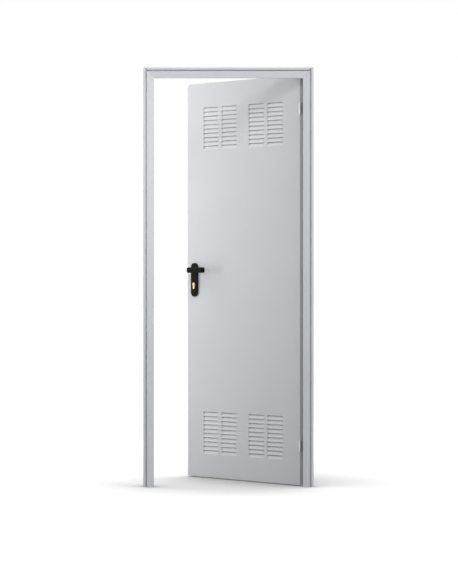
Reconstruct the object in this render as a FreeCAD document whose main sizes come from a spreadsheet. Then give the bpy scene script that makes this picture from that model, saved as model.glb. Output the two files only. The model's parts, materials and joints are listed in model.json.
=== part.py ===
"""Steel utility door: a louvred double-skin leaf, half open on two pin hinges in a folded sheet frame."""
import FreeCAD
import Part
import Sketcher
import os

document = FreeCAD.newDocument("steel_utility_door")
sheet = document.addObject("Spreadsheet::Sheet", "sizes")


class Size:
    """A size of the door: the formula that the document keeps and its value now."""

    def __init__(self, text, value):
        self.text = text
        self.value = value

    @staticmethod
    def of(thing):
        return thing if isinstance(thing, Size) else Size(str(thing), float(thing))

    def __add__(self, other):
        other = Size.of(other)
        return Size(f"({self.text} + {other.text})", self.value + other.value)

    def __sub__(self, other):
        other = Size.of(other)
        return Size(f"({self.text} - {other.text})", self.value - other.value)

    def __mul__(self, other):
        other = Size.of(other)
        return Size(f"({self.text} * {other.text})", self.value * other.value)

    def __truediv__(self, other):
        other = Size.of(other)
        return Size(f"({self.text} / {other.text})", self.value / other.value)

    def __neg__(self):
        return Size(f"(0 - {self.text})", -self.value)


cell_count = 0


def cell(alias, value, note):
    """Writes one driving dimension into the sheet, in millimetres or degrees."""
    global cell_count
    cell_count += 1
    sheet.set(f"A{cell_count}", note)
    sheet.set(f"B{cell_count}", str(value))
    sheet.setAlias(f"B{cell_count}", alias)
    return Size(f"sizes.{alias}", float(value))


ZERO = Size("0", 0.0)

# Driving dimensions of the frame
clear_width = cell("clear_width", 728, "clear opening between the jambs")
clear_height = cell("clear_height", 1994, "clear opening under the head")
face_width = cell("face_width", 51, "face of the frame seen from the front")
strip_width = cell("strip_width", 11.5, "flat outer strip of that face")
groove_width = cell("groove_width", 6, "groove beside the strip")
groove_depth = cell("groove_depth", 13, "depth of that groove")
face_fall = cell("face_fall", 8, "how far the wide face falls back towards the opening")
stop_depth = cell("stop_depth", 26, "front of the frame to the back of the stop")
rebate_width = cell("rebate_width", 25, "width of the stop behind which the leaf closes")
frame_sheet = cell("frame_sheet", 1.5, "thickness of the frame's sheet")
wall_flange = cell("wall_flange", 40, "flange against the wall")
back_lip = cell("back_lip", 15, "lip on the frame's back edge")
fixing_radius = cell("fixing_radius", 4.25, "radius of a wall fixing hole")
fixing_setback = cell("fixing_setback", 33, "front of the frame to the fixing holes")
fixing_middle = cell("fixing_middle", 1000, "height of the middle of the fixings")
outer_fixing_span = cell("outer_fixing_span", 1300, "between the outer pair of fixings")
inner_fixing_span = cell("inner_fixing_span", 430, "between the inner pair of fixings")

# Driving dimensions of the leaf and how it sits
leaf_thickness = cell("leaf_thickness", 40, "thickness of the leaf")
stop_gap = cell("stop_gap", 5, "leaf to stop when shut")
edge_gap = cell("edge_gap", 7, "leaf edges to the rebate when shut")
floor_gap = cell("floor_gap", 5, "under the leaf")
open_angle = cell("open_angle", 43, "how far the leaf stands open")
skin_sheet = cell("skin_sheet", 0.8, "thickness of the skins")
skin_lip = cell("skin_lip", 6, "lip of the back skin inside the front tray")
corner_cut = cell("corner_cut", 12, "cut across the top free corner")

# Driving dimensions of the vents
louvre_length = cell("louvre_length", 104, "length of one louvre")
louvre_height = cell("louvre_height", 19.5, "height of one louvre")
louvre_depth = cell("louvre_depth", 5, "how far its top edge is pressed in")
louvre_pitch = cell("louvre_pitch", 21.7, "between rows of louvres")
louvre_rows = cell("louvre_rows", 10, "rows in a block")
louvre_gap = cell("louvre_gap", 22, "between the two blocks of a pair")
pair_gap = cell("pair_gap", 81, "between the two pairs of blocks")
vent_foot = cell("vent_foot", 118, "foot of the leaf to the lower vent")
vent_drop = cell("vent_drop", 125, "top of the leaf to the upper vent")
duct_margin = cell("duct_margin", 14, "louvres to the duct round them")
duct_sheet = cell("duct_sheet", 1.0, "thickness of the duct's sheet")

# Driving dimensions of the hinges
pin_setback = cell("pin_setback", 8, "pin axis behind the leaf's back")
hinge_foot = cell("hinge_foot", 191, "foot of the leaf to the lower hinge")
hinge_drop = cell("hinge_drop", 164, "top of the leaf to the upper hinge")
hinge_height = cell("hinge_height", 56, "height of a hinge")
hinge_plate = cell("hinge_plate", 2.5, "thickness of a hinge plate")
hinge_reach = cell("hinge_reach", 36, "length of a hinge plate on the frame")
hinge_wrap = cell("hinge_wrap", 5, "lip of a hinge plate on the front of the leaf")
knuckle_radius = cell("knuckle_radius", 7, "outside of a knuckle")
pin_radius = cell("pin_radius", 4, "radius of a hinge pin")
pin_play = cell("pin_play", 0.05, "play round a pin")
pin_end = cell("pin_end", 2, "how far a pin stands out at each end")
washer_height = cell("washer_height", 2, "thickness of a hinge washer")
washer_play = cell("washer_play", 0.1, "play over a washer")

# Driving dimensions of the lock and handles
backset = cell("backset", 51, "free edge to the spindle")
lever_height = cell("lever_height", 1059, "floor to the spindle")
cylinder_drop = cell("cylinder_drop", 72, "spindle to cylinder")
plate_width = cell("plate_width", 46, "width of a handle plate")
plate_rise = cell("plate_rise", 37, "spindle to the top of a plate")
plate_drop = cell("plate_drop", 135, "spindle to the bottom of a plate")
plate_thickness = cell("plate_thickness", 9, "thickness of a plate")
plate_edge = cell("plate_edge", 2, "bevel of a plate's edge")
lever_offset = cell("lever_offset", 59, "leaf to the middle of the lever")
lever_length = cell("lever_length", 121, "spindle to the end of the lever")
bar_thickness = cell("bar_thickness", 17, "thickness of the lever's bar")
bar_tall = cell("bar_tall", 28, "height of the bar")
lever_bend = cell("lever_bend", 16, "bend of the bar")
bar_bevel = cell("bar_bevel", 5, "bevel of the bar's edges")
neck_radius = cell("neck_radius", 8, "neck of the lever in the plate")
neck_play = cell("neck_play", 0.3, "play round the neck and over the plate")
spindle_side = cell("spindle_side", 8, "side of the square spindle")
follower_radius = cell("follower_radius", 7, "hole of the lock for the spindle")
cylinder_radius = cell("cylinder_radius", 8.5, "round part of the cylinder")
cylinder_lug = cell("cylinder_lug", 10, "width of the cylinder's lug")
cylinder_tail = cell("cylinder_tail", 24.5, "round part's middle to the foot of the lug")
cylinder_proud = cell("cylinder_proud", 2, "cylinder in front of the plates")
cylinder_play = cell("cylinder_play", 0.3, "play round the cylinder")
plug_radius = cell("plug_radius", 6.5, "radius of the cylinder's plug")
plug_play = cell("plug_play", 0.1, "play round the plug")
plug_seat = cell("plug_seat", 3, "depth of the plug's seat")
plug_proud = cell("plug_proud", 1, "plug in front of the cylinder")
keyway_width = cell("keyway_width", 1.6, "width of the keyway")
keyway_height = cell("keyway_height", 8, "height of the keyway")
skin_hole = cell("skin_hole", 11, "radius of the skin's holes behind the plates")
case_depth = cell("case_depth", 80, "depth of the lock case")
case_rise = cell("case_rise", 46, "spindle to the top of the case")
case_drop = cell("case_drop", 119, "spindle to the foot of the case")
case_thickness = cell("case_thickness", 16, "thickness of the case")
faceplate_width = cell("faceplate_width", 24, "width of the lock's faceplate")
faceplate_end = cell("faceplate_end", 35, "faceplate beyond the case, at each end")
faceplate_thickness = cell("faceplate_thickness", 3, "thickness of the faceplate")
bolt_play = cell("bolt_play", 0.3, "play round the bolts")
bolt_width = cell("bolt_width", 12, "width of the bolts")
latch_height = cell("latch_height", 18, "height of the latch bolt")
dead_height = cell("dead_height", 32, "height of the dead bolt")
keep_margin = cell("keep_margin", 6, "room round a bolt in its keep")
keep_depth = cell("keep_depth", 18, "depth of the keep")
keep_rim = cell("keep_rim", 6, "rim of the keep against the jamb")
keep_sheet = cell("keep_sheet", 1.0, "thickness of the keep")

# Worked out from the driving dimensions, in the frame's place: middle of the opening, front, floor
half_clear = clear_width / 2
half_width = half_clear + face_width
frame_height = clear_height + face_width
wide_face = face_width - strip_width - groove_width
frame_depth = stop_depth + stop_gap + leaf_thickness
origin_setback = wall_flange / 2
overlap = rebate_width - edge_gap
pin_x = half_clear + rebate_width - edge_gap / 2
pin_y = frame_depth + pin_setback

# Worked out in the leaf's place: pin axis, floor, leaf shut
hinge_edge = -(edge_gap / 2)
leaf_width = clear_width + overlap * 2
free_edge = hinge_edge - leaf_width
leaf_back = -pin_setback
leaf_front = leaf_back - leaf_thickness
leaf_middle = leaf_back - leaf_thickness / 2
leaf_foot = floor_gap
leaf_top = clear_height + overlap
leaf_height = leaf_top - leaf_foot
spindle_x = free_edge + backset
cylinder_height = lever_height - cylinder_drop


def bind(thing, name, size):
    """Gives a property its value and the formula behind it."""
    thing.setExpression(name, Size.of(size).text)


subparts = []


def place(thing, where):
    """Puts a finished sub-part where the door holds it: in the frame, on the pin axis or on the open leaf."""
    subparts.append(thing)
    if where == "frame":
        bind(thing, "Placement.Base.x", -half_width)
        bind(thing, "Placement.Base.y", -origin_setback)
        return thing
    bind(thing, "Placement.Base.x", pin_x - half_width)
    bind(thing, "Placement.Base.y", pin_y - origin_setback)
    if where == "leaf":
        turn = FreeCAD.Rotation(FreeCAD.Vector(0, 0, 1), -open_angle.value)
        thing.Placement = FreeCAD.Placement(FreeCAD.Vector(), turn)
        bind(thing, "Placement.Rotation.Angle", -open_angle)
    return thing


def new_body(label, where):
    """A sub-part made by sketches and features."""
    return place(document.addObject("PartDesign::Body", label), where)


def origin_feature(body, role):
    return next(item for item in body.Origin.OriginFeatures if item.Role == role)


def new_sketch(body, name, role, distance=ZERO):
    """An empty sketch on one of the body's planes, at a distance along its normal."""
    sketch = body.newObject("Sketcher::SketchObject", name)
    sketch.AttachmentSupport = [(origin_feature(body, role), "")]
    sketch.MapMode = "FlatFace"
    bind(sketch, "AttachmentOffset.Base.z", distance)
    return sketch


def pin_point(sketch, geometry, end, point):
    """Ties one point of a sketch to two sizes."""
    for kind, size in zip(("DistanceX", "DistanceY"), point):
        index = sketch.addConstraint(Sketcher.Constraint(kind, -1, 1, geometry, end, size.value))
        bind(sketch, f"Constraints[{index}]", size)


def vector(point):
    return FreeCAD.Vector(point[0].value, point[1].value, 0)


def add_outline(sketch, points):
    """A closed outline of straight lines through the points."""
    first = sketch.GeometryCount
    ends = points[1:] + points[:1]
    for start, end in zip(points, ends):
        sketch.addGeometry(Part.LineSegment(vector(start), vector(end)), False)
    for index, point in enumerate(points):
        line = first + index
        after = first + (index + 1) % len(points)
        sketch.addConstraint(Sketcher.Constraint("Coincident", line, 2, after, 1))
        pin_point(sketch, line, 1, point)


def add_rectangle(sketch, low, high):
    add_outline(sketch, [low, (high[0], low[1]), high, (low[0], high[1])])


def add_circle(sketch, middle, radius):
    circle = sketch.addGeometry(Part.Circle(vector(middle), FreeCAD.Vector(0, 0, 1), radius.value), False)
    pin_point(sketch, circle, 3, middle)
    index = sketch.addConstraint(Sketcher.Constraint("Radius", circle, radius.value))
    bind(sketch, f"Constraints[{index}]", radius)


def add_line(sketch, start, end):
    line = sketch.addGeometry(Part.LineSegment(vector(start), vector(end)), False)
    pin_point(sketch, line, 1, start)
    pin_point(sketch, line, 2, end)
    return line


def add_arc(sketch, before, through, after, level, held="DistanceY"):
    """An arc from one line's end to another's start, with its middle at a level along one axis."""
    start = sketch.getPoint(before, 2)
    end = sketch.getPoint(after, 1)
    arc = sketch.addGeometry(Part.Arc(start, vector(through), end), False)
    runs_on = sketch.getPoint(arc, 1).distanceToPoint(start) < 1e-6
    first, last = (1, 2) if runs_on else (2, 1)
    sketch.addConstraint(Sketcher.Constraint("Coincident", arc, first, before, 2))
    sketch.addConstraint(Sketcher.Constraint("Coincident", arc, last, after, 1))
    index = sketch.addConstraint(Sketcher.Constraint(held, -1, 1, arc, 3, level.value))
    bind(sketch, f"Constraints[{index}]", level)


def pad(body, sketch, length, reverse=False):
    feature = body.newObject("PartDesign::Pad", f"{sketch.Name}_pad")
    feature.Profile = sketch
    feature.Reversed = reverse
    bind(feature, "Length", length)
    document.recompute()
    return feature


def pocket(body, sketch, length, reverse=False):
    """Cuts a sketch out of the body, and makes sure that it cut something."""
    before = body.Tip.Shape.Volume
    feature = body.newObject("PartDesign::Pocket", f"{sketch.Name}_pocket")
    feature.Profile = sketch
    feature.Reversed = reverse
    bind(feature, "Length", length)
    document.recompute()
    if feature.Shape.Volume >= before:
        raise ValueError(f"{feature.Name} cuts nothing")
    return feature


def part_box(name, low, high):
    """A box between two corners."""
    box = document.addObject("Part::Box", name)
    for side, axis, start, end in zip(("Length", "Width", "Height"), "xyz", low, high):
        bind(box, side, end - start)
        bind(box, f"Placement.Base.{axis}", start)
    return box


def part_rod(name, foot, radius, height):
    """An upright round rod on a point."""
    rod = document.addObject("Part::Cylinder", name)
    bind(rod, "Radius", radius)
    bind(rod, "Height", height)
    for axis, size in zip("xyz", foot):
        bind(rod, f"Placement.Base.{axis}", size)
    return rod


def fuse(name, *shapes):
    joined = document.addObject("Part::MultiFuse", name)
    joined.Shapes = list(shapes)
    joined.Refine = True
    return joined


def cut(name, base, tool):
    result = document.addObject("Part::Cut", name)
    result.Base = base
    result.Tool = tool
    return result


# Frame

def frame_profile():
    """The folded sheet in section: distance from the opening and depth from the front."""
    inner_wall = face_width - frame_sheet
    groove_near = wide_face
    groove_far = wide_face + groove_width
    groove_floor = groove_depth + frame_sheet
    fall_per_mm = face_fall / wide_face
    seen = [
        (face_width, wall_flange),
        (face_width, ZERO),
        (groove_far, ZERO),
        (groove_far, groove_depth),
        (groove_near, groove_depth),
        (groove_near, ZERO),
        (ZERO, face_fall),
        (ZERO, stop_depth),
        (rebate_width, stop_depth),
        (rebate_width, frame_depth),
        (face_width, frame_depth),
        (face_width, frame_depth - back_lip),
    ]
    hidden = [
        (inner_wall, frame_depth - back_lip),
        (inner_wall, frame_depth - frame_sheet),
        (rebate_width + frame_sheet, frame_depth - frame_sheet),
        (rebate_width + frame_sheet, stop_depth - frame_sheet),
        (frame_sheet, stop_depth - frame_sheet),
        (frame_sheet, face_fall - fall_per_mm * frame_sheet + frame_sheet),
        (groove_near - frame_sheet, fall_per_mm * frame_sheet + frame_sheet),
        (groove_near - frame_sheet, groove_floor),
        (groove_far + frame_sheet, groove_floor),
        (groove_far + frame_sheet, frame_sheet),
        (inner_wall, frame_sheet),
        (inner_wall, wall_flange),
    ]
    return seen + hidden


def make_jamb(label, side):
    """An upright of the frame. Its strip and groove run to the top, its wide face ends in a mitre."""
    body = new_body(label, "frame")
    section = new_sketch(body, f"{label}_section", "XY_Plane")
    add_outline(section, [((half_clear + across) * side, depth) for across, depth in frame_profile()])
    pad(body, section, frame_height)
    mitre = new_sketch(body, f"{label}_mitre", "XZ_Plane")
    add_outline(mitre, [
        (half_clear * side, clear_height),
        ((half_clear + wide_face) * side, clear_height + wide_face),
        ((half_clear + wide_face) * side, frame_height),
        (half_clear * side, frame_height),
    ])
    pocket(body, mitre, frame_depth)
    holes = new_sketch(body, f"{label}_fixings", "YZ_Plane", (half_clear + rebate_width) * side)
    for span in (outer_fixing_span, inner_fixing_span):
        add_circle(holes, (fixing_setback, fixing_middle + span / 2), fixing_radius)
        add_circle(holes, (fixing_setback, fixing_middle - span / 2), fixing_radius)
    pocket(body, holes, face_width - rebate_width, reverse=side > 0)
    return body


def make_head():
    """The head of the frame, between the grooves of the jambs."""
    body = new_body("head_jamb", "frame")
    half_length = half_clear + wide_face
    section = new_sketch(body, "head_section", "YZ_Plane", -half_length)
    add_outline(section, [(depth, clear_height + across) for across, depth in frame_profile()])
    pad(body, section, half_length * 2)
    for name, side in (("left_mitre", -1), ("right_mitre", 1)):
        mitre = new_sketch(body, name, "XZ_Plane")
        add_outline(mitre, [
            (half_clear * side, clear_height),
            (half_length * side, clear_height + wide_face),
            (half_length * side, clear_height),
        ])
        pocket(body, mitre, frame_depth)


bolt_rows = (
    ("latch", lever_height, latch_height),
    ("dead", cylinder_height, dead_height),
)
bolt_y = pin_y + leaf_middle


def cut_keep_holes(jamb):
    """Holes in the lock jamb's rebate wall for the bolts."""
    holes = new_sketch(jamb, "keep_holes", "YZ_Plane", -(half_clear + rebate_width))
    for _, height, tall in bolt_rows:
        add_rectangle(
            holes,
            (bolt_y - bolt_width / 2 - keep_margin, height - tall / 2 - keep_margin),
            (bolt_y + bolt_width / 2 + keep_margin, height + tall / 2 + keep_margin))
    pocket(jamb, holes, frame_sheet)


def make_strike_box():
    """A pressed box behind the keep holes, on the hidden side of the rebate wall."""
    wall = -(half_clear + rebate_width + frame_sheet)
    across = bolt_width / 2 + keep_margin
    foot = cylinder_height - dead_height / 2 - keep_margin
    head = lever_height + latch_height / 2 + keep_margin
    low = (bolt_y - across, foot)
    high = (bolt_y + across, head)
    body = new_body("strike_box", "frame")
    rim = new_sketch(body, "keep_rim_outline", "YZ_Plane", wall)
    add_rectangle(
        rim,
        (low[0] - keep_rim, low[1] - keep_rim),
        (high[0] + keep_rim, high[1] + keep_rim))
    pad(body, rim, keep_sheet, reverse=True)
    shell = new_sketch(body, "keep_shell_outline", "YZ_Plane", wall)
    add_rectangle(
        shell,
        (low[0] - keep_sheet, low[1] - keep_sheet),
        (high[0] + keep_sheet, high[1] + keep_sheet))
    pad(body, shell, keep_depth, reverse=True)
    hollow = new_sketch(body, "keep_hollow_outline", "YZ_Plane", wall)
    add_rectangle(hollow, low, high)
    pocket(body, hollow, keep_depth - keep_sheet)


# Hinges

hinge_rows = (
    ("lower", leaf_foot + hinge_foot),
    ("upper", leaf_top - hinge_drop),
)
half_hinge = hinge_height / 2
half_washer = washer_height / 2


def make_hinge_half(label, where, height, plate_side, knuckle_foot, knuckle_height, bore_radius, *plates):
    """Plates with a knuckle. The pin axis is the upright through the leaf's own zero."""
    near, far = plate_side
    sheets = [part_box(
        f"{label}_plate_{index}",
        (low[0], low[1], height - half_hinge),
        (high[0], high[1], height + half_hinge)) for index, (low, high) in enumerate(plates)]
    web = part_box(
        f"{label}_web",
        (near, leaf_back, knuckle_foot),
        (far, ZERO, knuckle_foot + knuckle_height))
    barrel = part_rod(f"{label}_barrel", (ZERO, ZERO, knuckle_foot), knuckle_radius, knuckle_height)
    bore = part_rod(f"{label}_bore", (ZERO, ZERO, knuckle_foot), bore_radius, knuckle_height)
    place(cut(label, fuse(f"{label}_solid", *sheets, web, barrel), bore), where)


def make_pin(label, height):
    """A hinge pin, tight in the frame's knuckle."""
    body = new_body(label, "pin")
    outline = new_sketch(body, f"{label}_outline", "XY_Plane", height - half_hinge - pin_end)
    add_circle(outline, (ZERO, ZERO), pin_radius)
    pad(body, outline, hinge_height + pin_end * 2)


def make_hinge(name, height):
    """A butt hinge. Its leaf half wraps round the leaf's edge onto the front."""
    frame_side = (edge_gap / 2 - hinge_plate, edge_gap / 2)
    leaf_side = (hinge_edge, hinge_edge + hinge_plate)
    wrap_front = leaf_front - hinge_plate
    make_hinge_half(
        f"{name}_hinge_frame_half", "pin", height, frame_side,
        height - half_hinge, half_hinge - half_washer, pin_radius,
        ((frame_side[0], leaf_back - hinge_reach), (frame_side[1], leaf_back)))
    make_hinge_half(
        f"{name}_hinge_leaf_half", "leaf", height, leaf_side,
        height + half_washer + washer_play, half_hinge - half_washer - washer_play, pin_radius + pin_play,
        ((leaf_side[0], wrap_front), (leaf_side[1], leaf_back)),
        ((hinge_edge - hinge_wrap, wrap_front), (leaf_side[0], leaf_front)))
    make_pin(f"{name}_hinge_pin", height)
    foot = (ZERO, ZERO, height - half_washer)
    disc = part_rod(f"{name}_washer_disc", foot, knuckle_radius, washer_height)
    eye = part_rod(f"{name}_washer_eye", foot, pin_radius + pin_play, washer_height)
    place(cut(f"{name}_hinge_washer", disc, eye), "pin")


# Leaf

half_fields = louvre_length * 2 + louvre_gap + pair_gap / 2
field_left = (free_edge + hinge_edge) / 2 - half_fields
field_height = louvre_pitch * (louvre_rows - 1) + louvre_height
lower_field = leaf_foot + vent_foot
upper_field = leaf_top - vent_drop - field_height


def add_louvres(body, prefix, face, inward):
    """Presses the louvres into a skin: each blade slopes in from its foot to an open slit at its top."""
    def section_point(depth, rise):
        return (face + depth * inward, lower_field + rise)
    hood = new_sketch(body, f"{prefix}_louvre_hood", "YZ_Plane", field_left)
    add_outline(hood, [
        section_point(ZERO, ZERO),
        section_point(ZERO, louvre_height),
        section_point(louvre_depth + skin_sheet, louvre_height),
        section_point(skin_sheet, ZERO),
    ])
    raised = pad(body, hood, louvre_length)
    hollow = new_sketch(body, f"{prefix}_louvre_hollow", "YZ_Plane", field_left + skin_sheet)
    add_outline(hollow, [
        section_point(ZERO, ZERO),
        section_point(ZERO, louvre_height),
        section_point(louvre_depth, louvre_height),
    ])
    opened = pocket(body, hollow, louvre_length - skin_sheet * 2, reverse=True)
    fields = body.newObject("PartDesign::MultiTransform", f"{prefix}_louvre_fields")
    fields.Originals = [raised, opened]
    steps = (
        ("rows", "Z_Axis", louvre_pitch, louvre_rows),
        ("pairs", "X_Axis", louvre_length + louvre_gap, Size.of(2)),
        ("halves", "X_Axis", louvre_length * 2 + louvre_gap + pair_gap, Size.of(2)),
        ("ends", "Z_Axis", upper_field - lower_field, Size.of(2)),
    )
    patterns = []
    for name, axis, step, count in steps:
        pattern = document.addObject("PartDesign::LinearPattern", f"{prefix}_louvre_{name}")
        pattern.Direction = (origin_feature(body, axis), [""])
        pattern.Mode = "Spacing"
        bind(pattern, "Offset", step)
        bind(pattern, "Occurrences", count)
        patterns.append(pattern)
    fields.Transformations = patterns
    body.Tip = fields
    document.recompute()


def add_handle_holes(body, prefix, face, reverse):
    """Holes behind a handle plate for the spindle and the cylinder."""
    holes = new_sketch(body, f"{prefix}_handle_holes", "XZ_Plane", -face)
    add_circle(holes, (spindle_x, lever_height), skin_hole)
    add_rectangle(
        holes,
        (spindle_x - skin_hole, cylinder_height - cylinder_tail - cylinder_play),
        (spindle_x + skin_hole, cylinder_height + skin_hole))
    pocket(body, holes, skin_sheet, reverse)


faceplate_foot = lever_height - case_drop - faceplate_end
faceplate_head = lever_height + case_rise + faceplate_end


def leaf_outline(inset):
    """The leaf's face, drawn in by a distance. Its top free corner is cut away."""
    low = (free_edge + inset, leaf_foot + inset)
    high = (hinge_edge - inset, leaf_top - inset)
    slant = corner_cut - inset * (2 - 2 ** 0.5)
    return [low, (high[0], low[1]), high, (low[0] + slant, high[1]), (low[0], high[1] - slant)]


def make_front_skin():
    """The front tray: the face of the leaf and its four edges in one folded sheet."""
    body = new_body("leaf_front_skin", "leaf")
    tray_depth = leaf_thickness - skin_sheet
    outline = new_sketch(body, "front_outline", "XZ_Plane", -leaf_front)
    add_outline(outline, leaf_outline(ZERO))
    pad(body, outline, tray_depth, reverse=True)
    inside = new_sketch(body, "front_inside", "XZ_Plane", -(leaf_back - skin_sheet))
    add_outline(inside, leaf_outline(skin_sheet))
    pocket(body, inside, tray_depth - skin_sheet, reverse=True)
    edge_hole = new_sketch(body, "faceplate_hole", "YZ_Plane", free_edge)
    half_hole = faceplate_width / 2
    add_rectangle(
        edge_hole,
        (leaf_middle - half_hole, faceplate_foot),
        (leaf_middle + half_hole, faceplate_head))
    pocket(body, edge_hole, skin_sheet, reverse=True)
    add_handle_holes(body, "front", leaf_front, reverse=False)
    add_louvres(body, "front", leaf_front, 1)


def make_back_skin():
    """The back lid, with a short lip that lies inside the front tray."""
    body = new_body("leaf_back_skin", "leaf")
    outline = new_sketch(body, "back_outline", "XZ_Plane", -leaf_back)
    add_outline(outline, leaf_outline(ZERO))
    pad(body, outline, skin_sheet)
    lip = new_sketch(body, "back_lip_outline", "XZ_Plane", -(leaf_back - skin_sheet))
    add_outline(lip, leaf_outline(skin_sheet))
    add_outline(lip, leaf_outline(skin_sheet * 2))
    pad(body, lip, skin_lip)
    add_handle_holes(body, "back", leaf_back, reverse=True)
    add_louvres(body, "back", leaf_back, -1)


def make_duct(label, foot):
    """A sheet sleeve between the skins round one field of louvres."""
    low = (field_left - duct_margin, foot - duct_margin)
    high = (field_left + half_fields * 2 + duct_margin, foot + field_height + duct_margin)
    body = new_body(label, "leaf")
    section = new_sketch(body, f"{label}_section", "XZ_Plane", -(leaf_front + skin_sheet))
    add_rectangle(section, low, high)
    add_rectangle(
        section,
        (low[0] + duct_sheet, low[1] + duct_sheet),
        (high[0] - duct_sheet, high[1] - duct_sheet))
    pad(body, section, leaf_thickness - skin_sheet * 2, reverse=True)


# Lock

case_front = free_edge + faceplate_thickness
bolt_tail = backset - faceplate_thickness - skin_hole - cylinder_radius


def add_cylinder_outline(sketch, play):
    """The outline of a profile cylinder: a round head over a narrower lug with a round foot."""
    radius = cylinder_radius + play
    half_lug = cylinder_lug / 2 + play
    drop = Size(
        f"sqrt({(radius * radius - half_lug * half_lug).text})",
        (radius.value ** 2 - half_lug.value ** 2) ** 0.5)
    foot = cylinder_height - cylinder_tail + cylinder_lug / 2
    left, right = spindle_x - half_lug, spindle_x + half_lug
    shoulder = cylinder_height - drop
    left_line = add_line(sketch, (left, shoulder), (left, foot))
    right_line = add_line(sketch, (right, foot), (right, shoulder))
    add_arc(sketch, right_line, (spindle_x, cylinder_height + radius), left_line, cylinder_height)
    add_arc(sketch, left_line, (spindle_x, foot - half_lug), right_line, foot)


def add_bolt_outline(sketch, height, tall, play):
    """The section of a bolt, with play round it where it is the mouth for one."""
    across = bolt_width / 2 + play
    add_rectangle(
        sketch,
        (leaf_middle - across, height - tall / 2 - play),
        (leaf_middle + across, height + tall / 2 + play))


def make_lock_case():
    """The lock's case in the leaf, open for the spindle, the cylinder and the bolts."""
    body = new_body("lock_case", "leaf")
    half_case = case_thickness / 2
    outline = new_sketch(body, "case_outline", "XZ_Plane", -(leaf_middle - half_case))
    add_rectangle(
        outline,
        (case_front, lever_height - case_drop),
        (case_front + case_depth, lever_height + case_rise))
    pad(body, outline, case_thickness, reverse=True)
    holes = new_sketch(body, "case_holes", "XZ_Plane", -(leaf_middle - half_case))
    add_circle(holes, (spindle_x, lever_height), follower_radius)
    add_cylinder_outline(holes, ZERO)
    pocket(body, holes, case_thickness)
    bolts = new_sketch(body, "case_bolt_mouths", "YZ_Plane", case_front)
    for _, height, tall in bolt_rows:
        add_bolt_outline(bolts, height, tall, bolt_play)
    pocket(body, bolts, bolt_tail, reverse=True)


def make_faceplate():
    """The lock's faceplate, level with the leaf's free edge."""
    body = new_body("lock_faceplate", "leaf")
    outline = new_sketch(body, "faceplate_outline", "YZ_Plane", free_edge)
    add_rectangle(
        outline,
        (leaf_middle - faceplate_width / 2, faceplate_foot),
        (leaf_middle + faceplate_width / 2, faceplate_head))
    pad(body, outline, faceplate_thickness)
    mouths = new_sketch(body, "faceplate_mouths", "YZ_Plane", free_edge)
    for _, height, tall in bolt_rows:
        add_bolt_outline(mouths, height, tall, bolt_play)
    pocket(body, mouths, faceplate_thickness, reverse=True)


def make_bolts():
    """The two bolts, both drawn back level with the faceplate."""
    for name, height, tall in bolt_rows:
        body = new_body(f"{name}_bolt", "leaf")
        outline = new_sketch(body, f"{name}_bolt_outline", "YZ_Plane", free_edge)
        add_bolt_outline(outline, height, tall, ZERO)
        pad(body, outline, faceplate_thickness + bolt_tail)


def make_cylinder():
    """The profile cylinder through leaf and plates, with a seat for a plug at each end."""
    body = new_body("lock_cylinder", "leaf")
    reach = plate_thickness + cylinder_proud
    outline = new_sketch(body, "cylinder_outline", "XZ_Plane", -(leaf_front - reach))
    add_cylinder_outline(outline, ZERO)
    pad(body, outline, leaf_thickness + reach * 2, reverse=True)
    for name, face, reverse in (("front", leaf_front - reach, False), ("back", leaf_back + reach, True)):
        seat = new_sketch(body, f"{name}_plug_seat", "XZ_Plane", -face)
        add_circle(seat, (spindle_x, cylinder_height), plug_radius + plug_play)
        pocket(body, seat, plug_seat, reverse)


def make_plug(name, seat_floor, reverse):
    """The plug of the cylinder, with its keyway."""
    body = new_body(f"{name}_cylinder_plug", "leaf")
    outline = new_sketch(body, f"{name}_plug_outline", "XZ_Plane", -seat_floor)
    add_circle(outline, (spindle_x, cylinder_height), plug_radius)
    add_rectangle(
        outline,
        (spindle_x - keyway_width / 2, cylinder_height - keyway_height / 2),
        (spindle_x + keyway_width / 2, cylinder_height + keyway_height / 2))
    pad(body, outline, plug_seat + plug_proud, reverse)


# Handles

def edges_at(shape, axis, value):
    """Names of the edges whose ends all lie at one value along an axis."""
    return [f"Edge{index + 1}" for index, edge in enumerate(shape.Edges)
            if all(abs(getattr(point, axis) - value) < 1e-6 for point in edge.Vertexes)]


def make_handle_plate(name, face, reverse):
    """A long plate with round ends and a bevelled edge, on the face of the leaf."""
    body = new_body(f"{name}_handle_plate", "leaf")
    half = plate_width / 2
    head = lever_height + plate_rise - half
    foot = lever_height - plate_drop + half
    left, right = spindle_x - half, spindle_x + half
    outline = new_sketch(body, f"{name}_plate_outline", "XZ_Plane", -face)
    left_line = add_line(outline, (left, head), (left, foot))
    right_line = add_line(outline, (right, foot), (right, head))
    add_arc(outline, right_line, (spindle_x, head + half), left_line, head)
    add_arc(outline, left_line, (spindle_x, foot - half), right_line, foot)
    solid = pad(body, outline, plate_thickness, reverse)
    outer = face.value + plate_thickness.value * (1 if reverse else -1)
    bevel = body.newObject("PartDesign::Chamfer", f"{name}_plate_bevel")
    bevel.Base = (solid, edges_at(solid.Shape, "Y", outer))
    bind(bevel, "Size", plate_edge)
    document.recompute()
    holes = new_sketch(body, f"{name}_plate_holes", "XZ_Plane", -face)
    add_circle(holes, (spindle_x, lever_height), neck_radius + neck_play)
    add_cylinder_outline(holes, cylinder_play)
    pocket(body, holes, plate_thickness, not reverse)


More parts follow.
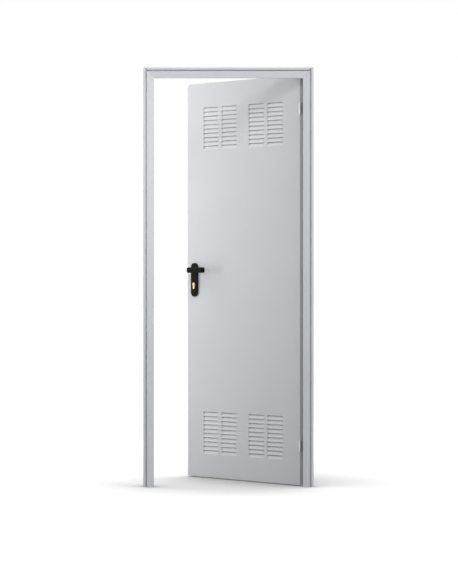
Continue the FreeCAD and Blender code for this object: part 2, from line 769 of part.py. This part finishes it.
def make_lever(name, face, outward):
    """A bevelled bar: out from the plate, then along the leaf towards the hinges to a round end."""
    body = new_body(f"{name}_lever", "leaf")
    half = bar_thickness / 2
    start = face + (plate_thickness + neck_play) * outward
    bar = face + lever_offset * outward
    outer, inner = bar + half * outward, bar - half * outward
    corner_x, corner_y = spindle_x + lever_bend, bar - lever_bend * outward
    end_x = spindle_x + lever_length
    plan = new_sketch(body, f"{name}_lever_plan", "XY_Plane", lever_height - bar_tall / 2)
    lines = [add_line(plan, *ends) for ends in (
        ((spindle_x - half, start), (spindle_x - half, corner_y)),
        ((corner_x, outer), (end_x - half, outer)),
        ((end_x - half, inner), (corner_x, inner)),
        ((spindle_x + half, corner_y), (spindle_x + half, start)),
        ((spindle_x + half, start), (spindle_x - half, start)))]

    def on_bend(radius):
        slant = radius * 0.5 ** 0.5
        return (corner_x - slant, corner_y + slant * outward)
    add_arc(plan, lines[0], on_bend(lever_bend + half), lines[1], corner_y)
    add_arc(plan, lines[1], (end_x, bar), lines[2], end_x - half, held="DistanceX")
    add_arc(plan, lines[2], on_bend(lever_bend - half), lines[3], corner_y)
    solid = pad(body, plan, bar_tall)
    low = lever_height.value - bar_tall.value / 2
    bevel = body.newObject("PartDesign::Chamfer", f"{name}_lever_bevel")
    bevel.Base = (solid, edges_at(solid.Shape, "Z", low) + edges_at(solid.Shape, "Z", low + bar_tall.value))
    bind(bevel, "Size", bar_bevel)
    document.recompute()
    neck = new_sketch(body, f"{name}_lever_neck", "XZ_Plane", -start)
    add_circle(neck, (spindle_x, lever_height), neck_radius)
    pad(body, neck, plate_thickness + neck_play, reverse=outward < 0)


def make_spindle():
    """The square bar through the lock that joins the two levers."""
    half = spindle_side / 2
    body = new_body("lever_spindle", "leaf")
    outline = new_sketch(body, "spindle_outline", "XZ_Plane", -leaf_front)
    add_rectangle(outline, (spindle_x - half, lever_height - half), (spindle_x + half, lever_height + half))
    pad(body, outline, leaf_thickness, reverse=True)


# The whole door

lock_jamb = make_jamb("lock_jamb", -1)
make_jamb("hinge_jamb", 1)
make_head()
cut_keep_holes(lock_jamb)
make_strike_box()
for hinge_name, hinge_level in hinge_rows:
    make_hinge(hinge_name, hinge_level)
make_front_skin()
make_back_skin()
make_duct("lower_vent_duct", lower_field)
make_duct("upper_vent_duct", upper_field)
make_lock_case()
make_faceplate()
make_bolts()
make_cylinder()
make_plug("front", leaf_front - plate_thickness - cylinder_proud + plug_seat, reverse=False)
make_plug("back", leaf_back + plate_thickness + cylinder_proud - plug_seat, reverse=True)
for side_name, skin_face, turned_out in (("front", leaf_front, -1), ("back", leaf_back, 1)):
    make_handle_plate(side_name, skin_face, reverse=turned_out > 0)
    make_lever(side_name, skin_face, turned_out)
make_spindle()
document.recompute()

# Checks before anything is written

for item in document.Objects:
    if "Invalid" in item.State or "Error" in item.State or "Touched" in item.State:
        raise ValueError(f"{item.Label} is {item.State}")
    if item.TypeId == "Sketcher::SketchObject" and item.solve() != 0:
        raise ValueError(f"{item.Label} does not solve")
for item in subparts:
    shape = item.Shape
    if shape.isNull() or not shape.isValid() or len(shape.Solids) != 1 or shape.Volume <= 0:
        raise ValueError(f"{item.Label} is not one sound solid")

os.makedirs("parts", exist_ok=True)
for item in subparts:
    item.Shape.exportStep(f"parts/{item.Label}.step")
    box = item.Shape.BoundBox
    print(
        f"{item.Label:26s} {item.Shape.Volume:12.1f} mm3 "
        f"x {box.XMin:8.2f} {box.XMax:8.2f}  "
        f"y {box.YMin:8.2f} {box.YMax:8.2f}  "
        f"z {box.ZMin:8.2f} {box.ZMax:8.2f}")
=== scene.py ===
"""Looks, light and camera for a steel utility door with pressed vents, standing half open in its frame."""
import json
import math

import bpy
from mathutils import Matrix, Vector


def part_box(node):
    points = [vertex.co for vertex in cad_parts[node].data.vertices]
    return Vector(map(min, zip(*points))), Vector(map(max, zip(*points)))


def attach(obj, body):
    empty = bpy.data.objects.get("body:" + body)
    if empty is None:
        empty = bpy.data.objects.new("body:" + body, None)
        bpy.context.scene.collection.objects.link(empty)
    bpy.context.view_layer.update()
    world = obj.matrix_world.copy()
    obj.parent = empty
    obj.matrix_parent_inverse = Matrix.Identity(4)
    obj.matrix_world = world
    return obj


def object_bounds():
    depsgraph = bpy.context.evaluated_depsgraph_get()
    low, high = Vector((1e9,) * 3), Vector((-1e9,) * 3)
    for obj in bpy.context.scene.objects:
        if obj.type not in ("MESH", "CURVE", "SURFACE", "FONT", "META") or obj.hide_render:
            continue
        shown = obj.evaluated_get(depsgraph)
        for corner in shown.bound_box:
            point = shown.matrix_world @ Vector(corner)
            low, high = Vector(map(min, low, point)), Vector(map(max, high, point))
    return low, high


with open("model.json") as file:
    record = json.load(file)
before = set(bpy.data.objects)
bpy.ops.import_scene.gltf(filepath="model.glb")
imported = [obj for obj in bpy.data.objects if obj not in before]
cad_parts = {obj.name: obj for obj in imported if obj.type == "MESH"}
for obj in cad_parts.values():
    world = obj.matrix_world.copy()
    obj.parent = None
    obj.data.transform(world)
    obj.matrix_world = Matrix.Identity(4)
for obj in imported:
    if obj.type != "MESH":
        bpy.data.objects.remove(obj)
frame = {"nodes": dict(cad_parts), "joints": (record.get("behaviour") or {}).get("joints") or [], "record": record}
cad_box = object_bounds()
nodes = frame["nodes"]
scene = bpy.context.scene


# Node helpers

# Most of a noise's values lie between these two
noise_low = 0.3
noise_high = 0.7


def add_node(tree, kind, inputs=None, **settings):
    """Adds a node, sets its options, and sets or links its inputs."""
    node = tree.nodes.new(kind)
    for name, value in settings.items():
        setattr(node, name, value)
    for name, value in (inputs or {}).items():
        if isinstance(value, bpy.types.NodeSocket):
            tree.links.new(value, node.inputs[name])
        else:
            node.inputs[name].default_value = value
    return node


def calculate(tree, operation, first, second):
    """The result of a Math node on two values."""
    return add_node(tree, "ShaderNodeMath", {0: first, 1: second}, operation=operation).outputs[0]


def noise(tree, place, scale, detail):
    """The value of a noise, with its scale in features to the metre."""
    node = add_node(tree, "ShaderNodeTexNoise", {"Vector": place, "Scale": scale, "Detail": detail})
    return node.outputs["Fac"]


def spread(tree, value, low, high):
    """Stretches a noise's middle range to the two given values."""
    node = add_node(tree, "ShaderNodeMapRange", {
        "Value": value, "From Min": noise_low, "From Max": noise_high, "To Min": low, "To Max": high})
    return node.outputs["Result"]


def new_group(name, kind, inputs, outputs):
    """An empty node group with named sockets, the sockets that it is given, and its output node."""
    group = bpy.data.node_groups.new(name, kind)
    for label, socket, value in inputs:
        made = group.interface.new_socket(label, in_out="INPUT", socket_type=socket)
        if value is not None:
            made.default_value = value
    for label, socket in outputs:
        group.interface.new_socket(label, in_out="OUTPUT", socket_type=socket)
    return group, group.nodes.new("NodeGroupInput").outputs, group.nodes.new("NodeGroupOutput")


def socket_name(keyword):
    """A socket's name from a keyword, which holds no spaces."""
    return keyword.replace("_", " ")


# Effects that more than one finish uses

surface_outputs = [
    ("Color", "NodeSocketColor"),
    ("Roughness", "NodeSocketFloat"),
    ("Height", "NodeSocketFloat"),
]


def put_out(group, out, color, level, roughness, height):
    """Links a colour times its level, a roughness and a height to a group's outputs."""
    tint = add_node(group, "ShaderNodeVectorMath", {0: color, "Scale": level}, operation="SCALE")
    group.links.new(tint.outputs["Vector"], out.inputs["Color"])
    group.links.new(roughness, out.inputs["Roughness"])
    group.links.new(height, out.inputs["Height"])


def make_sprayed_coat():
    """Stoved paint: a faint orange peel, a slow drift of tone and a little change of gloss."""
    group, given, out = new_group("sprayed coat", "ShaderNodeTree", [
        ("Color", "NodeSocketColor", (0.6, 0.6, 0.6, 1.0)),
        ("Drift", "NodeSocketFloat", 0.02),
        ("Peel Scale", "NodeSocketFloat", 400.0),
        ("Rough Low", "NodeSocketFloat", 0.36),
        ("Rough High", "NodeSocketFloat", 0.46),
    ], surface_outputs)
    place = add_node(group, "ShaderNodeTexCoord").outputs["Object"]
    drift = noise(group, place, scale=3.0, detail=3.0)
    peel = noise(group, place, scale=given["Peel Scale"], detail=2.0)
    smear = noise(group, place, scale=26.0, detail=4.0)
    darker = calculate(group, "SUBTRACT", 1.0, given["Drift"])
    lighter = calculate(group, "ADD", 1.0, given["Drift"])
    level = spread(group, drift, darker, lighter)
    rough = spread(group, smear, given["Rough Low"], given["Rough High"])
    put_out(group, out, given["Color"], level, rough, peel)
    return group


def make_fine_grain():
    """A fine grain that can be drawn out along one axis, for metals and moulded plastic."""
    group, given, out = new_group("fine grain", "ShaderNodeTree", [
        ("Color", "NodeSocketColor", (0.5, 0.5, 0.5, 1.0)),
        ("Grain Scale", "NodeSocketVector", (900.0, 900.0, 900.0)),
        ("Drift", "NodeSocketFloat", 0.1),
        ("Rough Low", "NodeSocketFloat", 0.3),
        ("Rough High", "NodeSocketFloat", 0.45),
    ], surface_outputs)
    place = add_node(group, "ShaderNodeTexCoord").outputs["Object"]
    drawn = add_node(group, "ShaderNodeVectorMath", {
        0: place, 1: given["Grain Scale"]}, operation="MULTIPLY")
    grain = noise(group, drawn.outputs["Vector"], scale=1.0, detail=3.0)
    stain = noise(group, place, scale=60.0, detail=3.0)
    darker = calculate(group, "SUBTRACT", 1.0, given["Drift"])
    level = spread(group, stain, darker, 1.0)
    rough = spread(group, grain, given["Rough Low"], given["Rough High"])
    put_out(group, out, given["Color"], level, rough, grain)
    return group


sprayed_coat = make_sprayed_coat()
fine_grain = make_fine_grain()


# Finishes

def make_finish(name, group, values, edge, relief, strength, **sockets):
    """A finish from one effect group, with softly rounded edges. The other sockets hold one value each."""
    material = bpy.data.materials.new(name)
    material.use_nodes = True
    tree = material.node_tree
    shader = tree.nodes["Principled BSDF"]
    effect = add_node(tree, "ShaderNodeGroup", values, node_tree=group)
    rounded = add_node(tree, "ShaderNodeBevel", {"Radius": edge}, samples=6)
    bump = add_node(tree, "ShaderNodeBump", {
        "Height": effect.outputs["Height"],
        "Normal": rounded.outputs["Normal"],
        "Strength": strength,
        "Distance": relief})
    tree.links.new(effect.outputs["Color"], shader.inputs["Base Color"])
    tree.links.new(effect.outputs["Roughness"], shader.inputs["Roughness"])
    tree.links.new(bump.outputs["Normal"], shader.inputs["Normal"])
    for keyword, value in sockets.items():
        shader.inputs[socket_name(keyword)].default_value = value
    return material


paint_grey = (0.600, 0.607, 0.630, 1.0)
finishes = {
    "frame_paint": make_finish(
        "frame paint", sprayed_coat, {"Color": paint_grey, "Drift": 0.012},
        edge=0.0010, relief=0.0002, strength=0.12),
    "leaf_paint": make_finish(
        "leaf paint", sprayed_coat, {"Color": paint_grey, "Drift": 0.018, "Peel Scale": 320.0},
        edge=0.0010, relief=0.0002, strength=0.12),
    "zinc": make_finish(
        "galvanized sheet", fine_grain,
        {"Color": (0.55, 0.56, 0.57, 1.0), "Grain Scale": (160.0, 160.0, 160.0), "Drift": 0.2,
         "Rough Low": 0.38, "Rough High": 0.55},
        edge=0.0005, relief=0.0001, strength=0.1, Metallic=1.0),
    "hinge_steel": make_finish(
        "plated hinge steel", fine_grain,
        {"Color": (0.56, 0.56, 0.57, 1.0), "Grain Scale": (500.0, 500.0, 500.0), "Drift": 0.12,
         "Rough Low": 0.38, "Rough High": 0.52},
        edge=0.0006, relief=0.0001, strength=0.08, Metallic=1.0),
    "lock_steel": make_finish(
        "brushed lock steel", fine_grain,
        {"Color": (0.46, 0.46, 0.465, 1.0), "Grain Scale": (1500.0, 1500.0, 30.0), "Drift": 0.12,
         "Rough Low": 0.46, "Rough High": 0.60},
        edge=0.0005, relief=0.0001, strength=0.15, Metallic=1.0),
    "black": make_finish(
        "black moulded handle", fine_grain,
        {"Color": (0.006, 0.006, 0.0065, 1.0), "Grain Scale": (1400.0, 1400.0, 1400.0), "Drift": 0.15,
         "Rough Low": 0.42, "Rough High": 0.54},
        edge=0.0012, relief=0.0001, strength=0.2, Specular_IOR_Level=0.04),
    "brass": make_finish(
        "satin brass", fine_grain,
        {"Color": (0.50, 0.39, 0.19, 1.0), "Grain Scale": (900.0, 900.0, 900.0), "Drift": 0.12,
         "Rough Low": 0.34, "Rough High": 0.46},
        edge=0.0004, relief=0.0001, strength=0.08, Metallic=1.0),
}
for row in frame["record"]["subparts"]:
    mesh = nodes[row["node"]].data
    mesh.materials.clear()
    mesh.materials.append(finishes[row["material_slot"]])


# Screws

# From the middle of the hinge pins sideways to the face of each hinge plate
plate_step = 0.001
# From the middle of the hinge pins forward to the two rows of screws in a plate
inner_row = 0.018
outer_row = 0.036
# From the middle of a hinge up and down to the two screws of its outer row
outer_rise = 0.018
# From the end of a plate, or from the dead bolt, to the screw next to it
end_margin = 0.012


def make_screw_tree():
    """Sets a countersunk screw with a cross recess on every point, facing the way that the point says.

    The head is sunk as deep below the point as it stands above it.
    """
    tree, given, out = new_group("countersunk screws", "GeometryNodeTree", [
        ("Geometry", "NodeSocketGeometry", None),
        ("Head Radius", "NodeSocketFloat", 0.003),
        ("Head Height", "NodeSocketFloat", 0.0004),
        ("Recess Length", "NodeSocketFloat", 0.0034),
        ("Recess Width", "NodeSocketFloat", 0.0008),
        ("Finish", "NodeSocketMaterial", None),
    ], [("Geometry", "NodeSocketGeometry")])
    tree.is_modifier = True
    depth = calculate(tree, "MULTIPLY", given["Head Height"], 2.0)
    head = add_node(tree, "GeometryNodeMeshCylinder", {
        "Vertices": 24, "Radius": given["Head Radius"], "Depth": depth})
    recessed = add_node(tree, "GeometryNodeMeshBoolean", {
        "Mesh 1": head.outputs["Mesh"]}, operation="DIFFERENCE")
    lift = add_node(tree, "ShaderNodeCombineXYZ", {"Z": given["Head Height"]})
    for across, along in (("Recess Length", "Recess Width"), ("Recess Width", "Recess Length")):
        size = add_node(tree, "ShaderNodeCombineXYZ", {
            "X": given[across], "Y": given[along], "Z": given["Head Height"]})
        bar = add_node(tree, "GeometryNodeMeshCube", {"Size": size.outputs["Vector"]})
        lifted = add_node(tree, "GeometryNodeTransform", {
            "Geometry": bar.outputs["Mesh"], "Translation": lift.outputs["Vector"]})
        tree.links.new(lifted.outputs["Geometry"], recessed.inputs["Mesh 2"])
    facing = add_node(tree, "GeometryNodeInputNamedAttribute", {"Name": "facing"}, data_type="FLOAT_VECTOR")
    aligned = add_node(tree, "FunctionNodeAlignRotationToVector", {
        "Vector": facing.outputs["Attribute"]}, axis="Z")
    placed = add_node(tree, "GeometryNodeInstanceOnPoints", {
        "Points": given["Geometry"],
        "Instance": recessed.outputs["Mesh"],
        "Rotation": aligned.outputs["Rotation"]})
    real = add_node(tree, "GeometryNodeRealizeInstances", {"Geometry": placed.outputs["Instances"]})
    finished = add_node(tree, "GeometryNodeSetMaterial", {
        "Geometry": real.outputs["Geometry"], "Material": given["Finish"]})
    tree.links.new(finished.outputs["Geometry"], out.inputs["Geometry"])
    return tree


def set_screws(name, body, slot, points, **sizes):
    """Makes one plain mesh of screws that rides on a body.

    Each point is a place on the face that carries the screw, and the way its head faces.
    """
    mesh = bpy.data.meshes.new(name)
    mesh.from_pydata([place for place, _ in points], [], [])
    facing = mesh.attributes.new("facing", "FLOAT_VECTOR", "POINT")
    for item, (_, way) in zip(facing.data, points):
        item.vector = way
    screws = bpy.data.objects.new(name, mesh)
    scene.collection.objects.link(screws)
    modifier = screws.modifiers.new("screws", "NODES")
    modifier.node_group = screw_tree
    values = {socket_name(keyword): size for keyword, size in sizes.items()}
    values["Finish"] = finishes[slot]
    for item in screw_tree.interface.items_tree:
        if item.in_out == "INPUT" and item.name in values:
            modifier[item.identifier] = values[item.name]
    solid = bpy.data.meshes.new_from_object(screws.evaluated_get(bpy.context.evaluated_depsgraph_get()))
    screws.modifiers.remove(modifier)
    screws.data = solid
    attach(screws, body)


screw_tree = make_screw_tree()

# The leaf's own directions as it stands: from its front to its back, and from its free edge to its hinges
leaf_swing, handle_turn = frame["joints"]
pin_axis = Vector(leaf_swing["pos_m"])
into_leaf = Vector(handle_turn["axis"]).normalized()
along_leaf = into_leaf.cross(Vector((0.0, 0.0, 1.0)))


def on_leaf(along, inward, height):
    """A point that moves with the leaf, from its steps along those directions and its height."""
    return pin_axis + along_leaf * along + into_leaf * inward + Vector((0.0, 0.0, height))


def reach(node, way):
    """How far a node goes back and forth along a direction, measured from the hinge pins."""
    steps = [(vertex.co - pin_axis).dot(way) for vertex in nodes[node].data.vertices]
    return min(steps), max(steps)


def middle_height(node):
    """The height of a node's middle."""
    low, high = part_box(node)
    return (low.z + high.z) / 2


hinge_heights = [middle_height(f"{end}_hinge_frame_half") for end in ("lower", "upper")]
hinge_places = [(outer_row, outer_rise), (outer_row, -outer_rise), (inner_row, 0.0)]
frame_screws = [(pin_axis + Vector((plate_step, -forward, height + rise)), (-1.0, 0.0, 0.0))
                for height in hinge_heights for forward, rise in hinge_places]
leaf_screws = [(on_leaf(-plate_step, -forward, height + rise), along_leaf)
               for height in hinge_heights for forward, rise in hinge_places]
set_screws("frame_hinge_screws", "frame", "hinge_steel", frame_screws)
set_screws("leaf_hinge_screws", "leaf", "hinge_steel", leaf_screws)

free_edge, _ = reach("lock_faceplate", along_leaf)
face_middle = sum(reach("lock_faceplate", into_leaf)) / 2
face_low, face_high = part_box("lock_faceplate")
bolt_low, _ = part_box("dead_bolt")
face_heights = (face_low.z + end_margin, bolt_low.z - end_margin, face_high.z - end_margin)
face_screws = [(on_leaf(free_edge, face_middle, height), -along_leaf) for height in face_heights]
set_screws("faceplate_screws", "leaf", "lock_steel", face_screws, Head_Radius=0.0038, Recess_Length=0.0044)

_, plate_face = reach("back_handle_plate", into_leaf)
plate_middle = sum(reach("back_handle_plate", along_leaf)) / 2
plate_low, plate_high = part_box("back_handle_plate")
plate_heights = (plate_low.z + end_margin, plate_high.z - end_margin)
plate_screws = [(on_leaf(plate_middle, plate_face, height), into_leaf) for height in plate_heights]
set_screws("handle_plate_screws", "leaf", "lock_steel", plate_screws,
           Head_Radius=0.0034, Recess_Length=0.004)


# Stage

white = (1.0, 1.0, 1.0, 1.0)
floor_grey = (0.35, 0.35, 0.35, 1.0)
floor_reach = 60.0
# How bright the floor shows round the door, and where it starts to grow lighter and is white
floor_glow = 0.66
glow_start = 1.2
glow_end = 2.6
# Painted shade on the floor's glow: how near the door has to be to darken it, how open the floor is where that
# painted shade is deepest, and what shows there
shade_distance = 0.85
shade_opening = 0.5
shade_level = 0.15
# The strength of the surround's light, which shows as white
surround_light = 0.30
# A long lens straight before the opening, fitted to the edges in the photograph
camera_place = (-0.415, -10.42, 1.022)
camera_shift = (0.0009, -0.0176)
lens_length = 133.67
sensor_width = 36.0
sight_length = 200.0
# Each lamp's name, its place, the point it faces, its width, its height and its power in watts
lamps = [
    ("softbox beside the opening", (-2.0, 0.7, 1.2), (-0.6, 0.5, 0.9), 0.7, 2.3, 17.5),
    ("small lamp above it", (-1.9, 0.5, 2.7), (-0.6, 0.5, 1.5), 0.8, 0.8, 8.5),
    ("softbox high in front", (-0.4, -3.6, 4.6), (-0.4, 0.1, 0.8), 1.4, 1.4, 54.0),
    ("narrow lamp before the lock jamb", (-0.95, -1.0, 1.55), (-0.8, 0.0, 1.5), 0.4, 1.2, 2.9),
    ("high softbox at the right", (2.6, -3.0, 3.2), (-0.4, 0.2, 1.1), 2.0, 2.0, 118.0),
    ("overhead softbox behind", (-0.7, 2.0, 3.8), (-0.4, 0.1, 0.2), 2.6, 2.6, 40.0),
    ("softbox behind the leaf", (2.2, 2.6, 2.2), (-0.3, 0.35, 1.0), 1.5, 1.5, 60.0),
]


def seen_directly(tree):
    """One for what is seen straight, mirrored or through something, and zero for light given off."""
    path = add_node(tree, "ShaderNodeLightPath").outputs
    seen = calculate(tree, "MAXIMUM", path["Is Camera Ray"], path["Is Glossy Ray"])
    return calculate(tree, "MAXIMUM", seen, path["Is Transmission Ray"])


def make_floor():
    """A pale floor that keeps the door's real shadow on its lit grey, adds painted shade to its glow near the
    door's feet, and turns white further off.
    """
    mesh = bpy.data.meshes.new("floor")
    corners = [(-floor_reach, -floor_reach, 0.0), (floor_reach, -floor_reach, 0.0),
               (floor_reach, floor_reach, 0.0), (-floor_reach, floor_reach, 0.0)]
    mesh.from_pydata(corners, [], [(0, 1, 2, 3)])
    floor = bpy.data.objects.new("floor", mesh)
    scene.collection.objects.link(floor)
    material = bpy.data.materials.new("pale floor")
    material.use_nodes = True
    tree = material.node_tree
    shader = tree.nodes["Principled BSDF"]
    shader.inputs["Base Color"].default_value = floor_grey
    shader.inputs["Roughness"].default_value = 0.9
    shader.inputs["Specular IOR Level"].default_value = 0.0
    shader.inputs["Emission Color"].default_value = white
    place = add_node(tree, "ShaderNodeTexCoord").outputs["Object"]
    door_middle = (cad_box[0] + cad_box[1]) / 2
    away = add_node(tree, "ShaderNodeVectorMath", {0: place, 1: door_middle}, operation="DISTANCE")
    glow = add_node(tree, "ShaderNodeMapRange", {
        "Value": away.outputs["Value"], "From Min": glow_start, "From Max": glow_end,
        "To Min": floor_glow, "To Max": 1.0})
    # Painted shade: the glow is darkened where the door closes in the space round a point of the floor
    opening = add_node(tree, "ShaderNodeAmbientOcclusion", {"Distance": shade_distance})
    shade = add_node(tree, "ShaderNodeMapRange", {
        "Value": opening.outputs["AO"], "From Min": shade_opening, "From Max": 1.0,
        "To Min": shade_level, "To Max": 1.0})
    shaded = calculate(tree, "MULTIPLY", glow.outputs["Result"], shade.outputs["Result"])
    shown = calculate(tree, "MULTIPLY", shaded, seen_directly(tree))
    tree.links.new(shown, shader.inputs["Emission Strength"])
    mesh.materials.append(material)


def make_world():
    """A white surround for what is seen directly or mirrored, and a softer one for the light it gives."""
    world = bpy.data.worlds.new("surround")
    scene.world = world
    world.use_nodes = True
    tree = world.node_tree
    level = add_node(tree, "ShaderNodeMapRange", {
        "Value": seen_directly(tree), "To Min": surround_light, "To Max": 1.0})
    surround = tree.nodes["Background"]
    surround.inputs["Color"].default_value = white
    tree.links.new(level.outputs["Result"], surround.inputs["Strength"])


def add_lamp(name, place, target, width, height, power):
    """A soft rectangular lamp that faces a point."""
    data = bpy.data.lights.new(name, "AREA")
    data.shape = "RECTANGLE"
    data.size = width
    data.size_y = height
    data.energy = power
    lamp = bpy.data.objects.new(name, data)
    lamp.location = place
    lamp.rotation_euler = (Vector(target) - Vector(place)).to_track_quat("-Z", "Y").to_euler()
    lamp.visible_camera = False
    scene.collection.objects.link(lamp)


def add_camera():
    """A level camera at about half the door's height, framed by its shift."""
    data = bpy.data.cameras.new("camera")
    data.lens = lens_length
    data.sensor_width = sensor_width
    data.shift_x, data.shift_y = camera_shift
    data.clip_end = sight_length
    camera = bpy.data.objects.new("camera", data)
    camera.location = camera_place
    camera.rotation_euler = (math.radians(90.0), 0.0, 0.0)
    scene.collection.objects.link(camera)
    scene.camera = camera


make_floor()
make_world()
for lamp in lamps:
    add_lamp(*lamp)
add_camera()
scene.view_settings.view_transform = "Standard"
